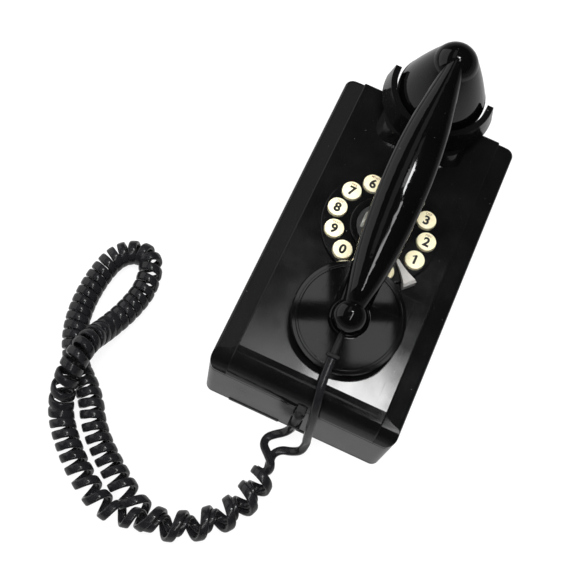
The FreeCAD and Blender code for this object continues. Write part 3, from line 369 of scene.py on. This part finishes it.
def finish_all():
    shell = polished_black("polished_shell", (0.0048, 0.0048, 0.0052), 0.10, 0.5)
    hand = polished_black("polished_handset", (0.0024, 0.0024, 0.0026), 0.006, 0.25)
    housing = moulded("satin_housing", (0.006, 0.006, 0.0062), (0.011, 0.011, 0.0112), 0.24, ior=1.36)
    plate = moulded("plate_moulding", (0.012, 0.012, 0.012), (0.022, 0.022, 0.022), 0.5)
    inner = moulded("inner_moulding", (0.05, 0.05, 0.05), (0.08, 0.08, 0.08), 0.5)
    rubber = moulded("relief_rubber", (0.004, 0.004, 0.0042), (0.008, 0.008, 0.0085), 0.55)
    board = moulded("board_coat", (0.05, 0.16, 0.07), (0.09, 0.26, 0.12), 0.35)
    card = moulded("card_paper", (0.16, 0.158, 0.15), (0.22, 0.217, 0.205), 0.5)
    white = moulded("plunger_white", (0.6, 0.58, 0.52), (0.75, 0.73, 0.66), 0.35)
    cream = cream_cap()
    steel = plated("zinc_steel", (0.62, 0.62, 0.64), 0.32, (1, 1, 0.1))
    silver = cast_silver()
    can = plated("drawn_can", (0.7, 0.7, 0.7), 0.4, (0.2, 0.2, 1))
    worn = {
        shell: ("front_cover", "dial_plate", "hub_ring", "cradle_fork"),
        hand: ("handset_body", "ear_cap", "mouth_cap"),
        housing: ("base_housing",),
        plate: ("back_plate",),
        inner: ("line_socket", "hook_switch", "keypad_mat"),
        rubber: ("handset_strain_relief", "base_strain_relief"),
        board: ("keypad_board", "main_board"),
        card: ("number_card",),
        clear_window(): ("card_window",),
        white: ("hook_plunger",),
        silver: ("finger_stop",),
        steel: ("cover_screws", "keypad_screws", "cradle_screws", "board_screws"),
        can: ("ringer", "receiver_capsule", "microphone_capsule"),
        cream: tuple(name for name in nodes if name.startswith("button_")),
    }
    for material, names in worn.items():
        for name in names:
            nodes[name].data.materials.clear()
            nodes[name].data.materials.append(material)


# Cord

def spline_points(rows, resolution):
    """Points of the smooth line that the route's places steer."""
    line = bpy.data.curves.new("cord_route", "CURVE")
    line.dimensions = "3D"
    line.resolution_u = resolution
    spline = line.splines.new("NURBS")
    spline.points.add(len(rows) - 1)
    for point, row in zip(spline.points, rows):
        point.co = (row[0] * MM, row[1] * MM, row[2] * MM, 1.0)
    spline.order_u = 3
    spline.use_endpoint_u = True
    holder = bpy.data.objects.new("cord_route", line)
    mesh = bpy.data.meshes.new_from_object(holder)
    points = [vertex.co.copy() for vertex in mesh.vertices]
    bpy.data.objects.remove(holder)
    bpy.data.meshes.remove(mesh)
    bpy.data.curves.remove(line)
    return points


def lead_row(row, curls):
    return row[0], LOWER_WALL_Y - row[1], row[2] * BODY_H, curls, 1.0


def curl_row(row, share):
    return row[0], LOWER_WALL_Y - row[1], CURL_LIE_H + row[2], row[3], share


def cord_rows():
    """The cord's places from handset to base, each with the curls so far and the share of their radius."""
    nested = tuple((*row[:3], CURL_COUNT - row[3] - TWIN_LAG) for row in reversed(TWIN_STRETCH))
    rows = [(*place, 0.0, 1.0) for place in HANDSET_EXIT]
    rows += [lead_row(row, 0.0) for row in HANDSET_LEAD_ROUTE]
    rows += [curl_row(row, 1.0) for row in CURL_START]
    rows += [curl_row(row, OPEN_SHARE) for row in TWIN_STRETCH]
    rows += [curl_row(row, 1.0) for row in CURL_LOOP]
    rows += [curl_row(row, NEST_SHARE) for row in nested]
    rows += [curl_row(row, 1.0) for row in CURL_END]
    rows += [lead_row(row, CURL_COUNT) for row in BASE_LEAD_ROUTE]
    rows += [(*place, CURL_COUNT, 1.0) for place in BASE_EXIT]
    return rows


def curls_along(rows, count):
    """Curls so far and share of their radius at each point, blended as the line blends its places."""
    spans = len(rows) - 2
    for index in range(count):
        at = spans * index / (count - 1)
        span = min(int(at), spans - 1)
        part = at - span
        weights = ((1 - part) ** 2 / 2, 0.5 + part - part ** 2, part ** 2 / 2)
        near = rows[span:span + 3]
        curls = sum(weight * row[3] for weight, row in zip(weights, near))
        share = sum(weight * row[4] for weight, row in zip(weights, near))
        yield curls, share


def wound_line(rows):
    """The wire's middle, its outward direction and how far it is wound, at even steps of its length."""
    axis = spline_points(rows, ROUTE_STEPS)
    wire = []
    for index, (point, (curls, share)) in enumerate(zip(axis, curls_along(rows, len(axis)))):
        along = (axis[min(index + 1, len(axis) - 1)] - axis[max(index - 1, 0)]).normalized()
        side = along.cross(Vector((0, 0, 1))).normalized()
        up = side.cross(along)
        grown = max(0.0, min(1.0, curls / CURL_RAMP, (CURL_COUNT - curls) / CURL_RAMP))
        grown = grown * grown * (3 - 2 * grown)
        turn = 2 * math.pi * (curls + FIRST_CURL_AT)
        out = side * math.cos(turn) + up * math.sin(turn)
        wire.append((point + out * (CURL_R * MM * share * grown), out, grown))
    even = [wire[0]]
    gone = 0.0
    for before, here in zip(wire, wire[1:]):
        run = (here[0] - before[0]).length
        while run > 0 and gone + run >= RING_SPACING:
            share = (RING_SPACING - gone) / run
            before = tuple(a + (b - a) * share for a, b in zip(before, here))
            even.append(before)
            run = (here[0] - before[0]).length
            gone = 0.0
        gone += run
    if (wire[-1][0] - even[-1][0]).length > RING_SPACING / 4:
        even.append(wire[-1])
    return even


def sweep_wire(name, line):
    """Flat oval wire whose wide side lies on the curl, as a pressed cord does."""
    shape = bmesh.new()
    rings = []
    for index, (point, out, grown) in enumerate(line):
        along = (line[min(index + 1, len(line) - 1)][0] - line[max(index - 1, 0)][0]).normalized()
        out = (out - along * out.dot(along)).normalized()
        wide = along.cross(out)
        half_w = (LEAD_WIDTH + (WIRE_WIDTH - LEAD_WIDTH) * grown) / 2 * MM
        half_t = (LEAD_THICKNESS + (WIRE_THICKNESS - LEAD_THICKNESS) * grown) / 2 * MM
        ring = []
        for corner in range(RING_CORNERS):
            angle = 2 * math.pi * corner / RING_CORNERS
            across = math.copysign(abs(math.cos(angle)) ** WIRE_SQUARENESS, math.cos(angle)) * half_w
            rise = math.copysign(abs(math.sin(angle)) ** WIRE_SQUARENESS, math.sin(angle)) * half_t
            ring.append(shape.verts.new(point + wide * across + out * rise))
        rings.append(ring)
    for near, far in zip(rings, rings[1:]):
        for corner in range(RING_CORNERS):
            after = (corner + 1) % RING_CORNERS
            shape.faces.new((near[corner], near[after], far[after], far[corner]))
    shape.faces.new(rings[0][::-1])
    shape.faces.new(rings[-1])
    bmesh.ops.recalc_face_normals(shape, faces=shape.faces)
    return finished(name, shape)


def finished(name, shape, smooth=True):
    mesh = bpy.data.meshes.new(name)
    shape.to_mesh(mesh)
    shape.free()
    piece = bpy.data.objects.new(name, mesh)
    bpy.context.scene.collection.objects.link(piece)
    if smooth:
        mesh.shade_smooth()
    return piece


def lay_cord():
    line = wound_line(cord_rows())
    cord = sweep_wire("cord", line)
    cord.data.materials.append(cord_sheath())
    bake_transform(cord)
    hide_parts("handset_lead", "curly_cord", "base_lead")


# Print on the keys and the card

def print_shape(words, size, weight, place):
    """Flat outline of a word, its middle on the place."""
    line = bpy.data.curves.new("print", "FONT")
    line.body = words
    line.align_x = "CENTER"
    line.align_y = "CENTER"
    line.offset = weight
    line.resolution_u = FONT_STEPS
    holder = bpy.data.objects.new("print", line)
    mesh = bpy.data.meshes.new_from_object(holder)
    shape = bmesh.new()
    shape.from_mesh(mesh)
    bpy.data.objects.remove(holder)
    bpy.data.meshes.remove(mesh)
    bpy.data.curves.remove(line)
    middle = (min(v.co.y for v in shape.verts) + max(v.co.y for v in shape.verts)) / 2
    for vertex in shape.verts:
        vertex.co = Vector((vertex.co.x * size + place[0], (vertex.co.y - middle) * size + place[1], 0.0))
    bmesh.ops.remove_doubles(shape, verts=shape.verts, dist=size * PRINT_MERGE)
    return shape


def add_flag(shape, size):
    """Short stroke that falls to the left from the top of a plain figure one."""
    top = max(vertex.co.y for vertex in shape.verts)
    left = min(vertex.co.x for vertex in shape.verts)
    made = bmesh.ops.create_grid(shape, x_segments=1, y_segments=1, size=0.5)["verts"]
    bmesh.ops.scale(shape, verts=made, vec=(FLAG_LENGTH * size, FLAG_WIDTH * size, 1.0))
    bmesh.ops.rotate(shape, verts=made, cent=(0, 0, 0), matrix=Matrix.Rotation(FLAG_SLANT, 3, "Z"))
    bmesh.ops.translate(shape, verts=made, vec=(left - FLAG_LEFT * size, top - FLAG_DOWN * size, 0))


def print_key(name):
    """Figure and small letters that follow the key's domed top."""
    low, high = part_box("button_" + name)
    centre = Vector(((low[0] + high[0]) / 2, (low[1] + high[1]) / 2, high[2]))
    figure = KEY_SIGNS.get(name, name)
    words = KEY_LETTERS.get(name, "")
    drop = FIGURE_DROP_WITH_LETTERS if words else FIGURE_DROP
    whole = bmesh.new()
    parts = [(figure, FIGURE_SIZE, FIGURE_WEIGHT, (0.0, drop), 0)]
    if words:
        parts.append((words, LETTER_SIZE, LETTER_WEIGHT, (0.0, LETTER_RISE), 1))
    for text, size, weight, place, slot in parts:
        shape = print_shape(text, size, weight, place)
        if text == "1":
            add_flag(shape, size)
        for face in shape.faces:
            face.material_index = slot
        mesh = bpy.data.meshes.new("print")
        shape.to_mesh(mesh)
        shape.free()
        whole.from_mesh(mesh)
        bpy.data.meshes.remove(mesh)
    long_edges = [edge for edge in whole.edges if edge.calc_length() > PRINT_EDGE]
    bmesh.ops.subdivide_edges(whole, edges=long_edges, cuts=2, use_grid_fill=True)
    for vertex in whole.verts:
        fall = KEY_DOME_R - math.sqrt(KEY_DOME_R ** 2 - vertex.co.x ** 2 - vertex.co.y ** 2)
        vertex.co = centre + Vector((vertex.co.x, vertex.co.y, PRINT_LIFT - fall))
    piece = finished("print_" + name, whole)
    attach(piece, "key_" + name)
    return piece


def print_keys():
    ink = moulded("key_ink", (0.003, 0.0028, 0.0025), (0.007, 0.0065, 0.006), 0.6)
    fine_ink = moulded("letter_ink", (0.16, 0.055, 0.035), (0.26, 0.10, 0.06), 0.45)
    for name in KEY_NAMES:
        piece = print_key(name)
        piece.data.materials.append(ink)
        piece.data.materials.append(fine_ink)


def card_strip():
    """Blank pale strip for the number, under the window."""
    low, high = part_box("number_card")
    shape = bmesh.new()
    bmesh.ops.create_cube(shape, size=1.0)
    bmesh.ops.scale(shape, verts=shape.verts, vec=STRIP_SIZE)
    half_thick = STRIP_SIZE[2] / 2
    upright = [edge for edge in shape.edges if abs(edge.verts[0].co.z - edge.verts[1].co.z) > half_thick]
    bmesh.ops.bevel(shape, geom=upright, offset=STRIP_CORNER, segments=3, profile=0.5, affect="EDGES",
                    material=-1)
    middle = ((low[0] + high[0]) / 2, (low[1] + high[1]) / 2, high[2] - STRIP_SUNK)
    bmesh.ops.translate(shape, verts=shape.verts, vec=middle)
    strip = finished("card_strip", shape, smooth=False)
    strip.data.materials.append(moulded("strip_paper", (0.46, 0.45, 0.40), (0.58, 0.57, 0.52), 0.6))
    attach(strip, "base")


def screw_crosses():
    """Cross recesses in the heads of the four cover screws at the back, as near-black crosses: painted shade
    in the recesses.
    """
    whole = bmesh.new()
    low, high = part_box("cover_screws")
    bars = ((CROSS_LENGTH, CROSS_WIDTH, CROSS_DEPTH), (CROSS_WIDTH, CROSS_LENGTH, CROSS_DEPTH))
    for x in (low[0] + SCREW_HEAD_R, high[0] - SCREW_HEAD_R):
        for y in (low[1] + SCREW_HEAD_R, high[1] - SCREW_HEAD_R):
            for size in bars:
                made = bmesh.ops.create_cube(whole, size=1.0)["verts"]
                bmesh.ops.scale(whole, verts=made, vec=size)
                bmesh.ops.translate(whole, verts=made, vec=(x, y, low[2] + CROSS_SUNK))
    crosses = finished("screw_crosses", whole, smooth=False)
    # Near-black cross colour is painted shade standing in for the shadow inside the steel recesses
    crosses.data.materials.append(moulded("recess_painted_shade", (0.010, 0.010, 0.010), (0.02, 0.02, 0.02), 0.6))
    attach(crosses, "base")


# Studio

def softbox(name, place, aim, size, power, glossy=True, diffuse=True, turn=0.0):
    data = bpy.data.lights.new(name, "AREA")
    data.shape = "RECTANGLE"
    data.size, data.size_y = size
    data.energy = power
    lamp = bpy.data.objects.new(name, data)
    lamp.location = place
    facing = (Vector(aim) - Vector(place)).to_track_quat("-Z", "Y").to_matrix()
    lamp.rotation_euler = (Matrix.Rotation(turn, 3, "Z") @ facing).to_euler()
    lamp.visible_camera = False
    lamp.visible_glossy = glossy
    lamp.visible_diffuse = diffuse
    bpy.context.scene.collection.objects.link(lamp)


def pale_floor():
    shape = bmesh.new()
    bmesh.ops.create_grid(shape, x_segments=1, y_segments=1, size=FLOOR_HALF)
    bmesh.ops.translate(shape, verts=shape.verts, vec=(0, 0, -FLOOR_DROP))
    floor = finished("floor", shape, smooth=False)
    finish = Finish("pale_floor", 0.9)
    finish.set(Base_Color=finish.mix(finish.noise(3.0), (0.93, 0.93, 0.93), (0.96, 0.96, 0.96)))
    tree = finish.tree
    rays = tree.nodes.new("ShaderNodeLightPath").outputs
    mirrors = finish.math("MAXIMUM", rays["Is Glossy Ray"], rays["Is Transmission Ray"])
    share = finish.math("MAXIMUM", finish.math("MULTIPLY", rays["Is Camera Ray"], FLOOR_SEEN_SHARE), mirrors)
    away = finish.node("ShaderNodeVectorMath", Vector=finish.place)
    away.operation = "LENGTH"
    mirrored = finish.ramp(away.outputs["Value"], *FLOOR_MIRRORED_FADE)
    bright = finish.math("MAXIMUM", mirrored, rays["Is Camera Ray"])
    white = finish.math("MULTIPLY", bright, finish.ramp(away.outputs["Value"], *FLOOR_WHITE_FADE))
    glow = finish.node("ShaderNodeEmission", Color=(1, 1, 1, 1), Strength=white)
    blend = tree.nodes.new("ShaderNodeMixShader")
    tree.links.new(share, blend.inputs[0])
    tree.links.new(finish.shader.outputs[0], blend.inputs[1])
    tree.links.new(glow.outputs[0], blend.inputs[2])
    tree.links.new(blend.outputs[0], tree.nodes["Material Output"].inputs[0])
    floor.data.materials.append(finish.material)


def studio_world():
    """White where the camera looks past the floor; to the object a pale low horizon under a dim ceiling."""
    world = bpy.data.worlds.new("studio")
    world.use_nodes = True
    tree = world.node_tree
    place = tree.nodes.new("ShaderNodeTexCoord")
    split = tree.nodes.new("ShaderNodeSeparateXYZ")
    fade = tree.nodes.new("ShaderNodeMapRange")
    fade.interpolation_type = "SMOOTHSTEP"
    for key, number in zip(FADE_KEYS, HORIZON_FADE):
        fade.inputs[key].default_value = number
    rays = tree.nodes.new("ShaderNodeLightPath")
    strength = tree.nodes.new("ShaderNodeMath")
    strength.operation = "MAXIMUM"
    sky = tree.nodes["Background"]
    sky.inputs["Color"].default_value = (1, 1, 1, 1)
    tree.links.new(place.outputs["Generated"], split.inputs[0])
    tree.links.new(split.outputs["Z"], fade.inputs[0])
    tree.links.new(fade.outputs[0], strength.inputs[0])
    tree.links.new(rays.outputs["Is Camera Ray"], strength.inputs[1])
    tree.links.new(strength.outputs[0], sky.inputs["Strength"])
    bpy.context.scene.world = world


def light_studio():
    bpy.context.scene.view_settings.view_transform = "Standard"
    studio_world()
    pale_floor()
    softbox("top_fill", *TOP_FILL, glossy=False)
    pane = (PANE_SIZE, PANE_SIZE)
    for across in (-PANE_OFF, PANE_OFF):
        for along in (-PANE_OFF, PANE_OFF):
            off = Matrix.Rotation(PANE_TURN, 3, "Z") @ Vector((across, along, 0))
            place = PANES_MIDDLE + off
            softbox("window_pane", place, place + STRAIGHT_DOWN, pane, PANE_POWER, turn=PANE_TURN)
    softbox("window_lamp", *WINDOW_LAMP, diffuse=False)
    for depth, power in HAZE_STEPS:
        place = Vector((HAZE_X, HAZE_NEAR_Y + depth / 2, LAMP_H))
        softbox("window_haze", place, place + STRAIGHT_DOWN, (HAZE_WIDTH, depth), power, diffuse=False)
    softbox("strip_lamp", *STRIP_LAMP, diffuse=False)
    softbox("side_window", *SIDE_WINDOW)
    softbox("sky_window", *SKY_WINDOW, diffuse=False)


aim_camera()
finish_all()
lay_cord()
print_keys()
card_strip()
screw_crosses()
light_studio()
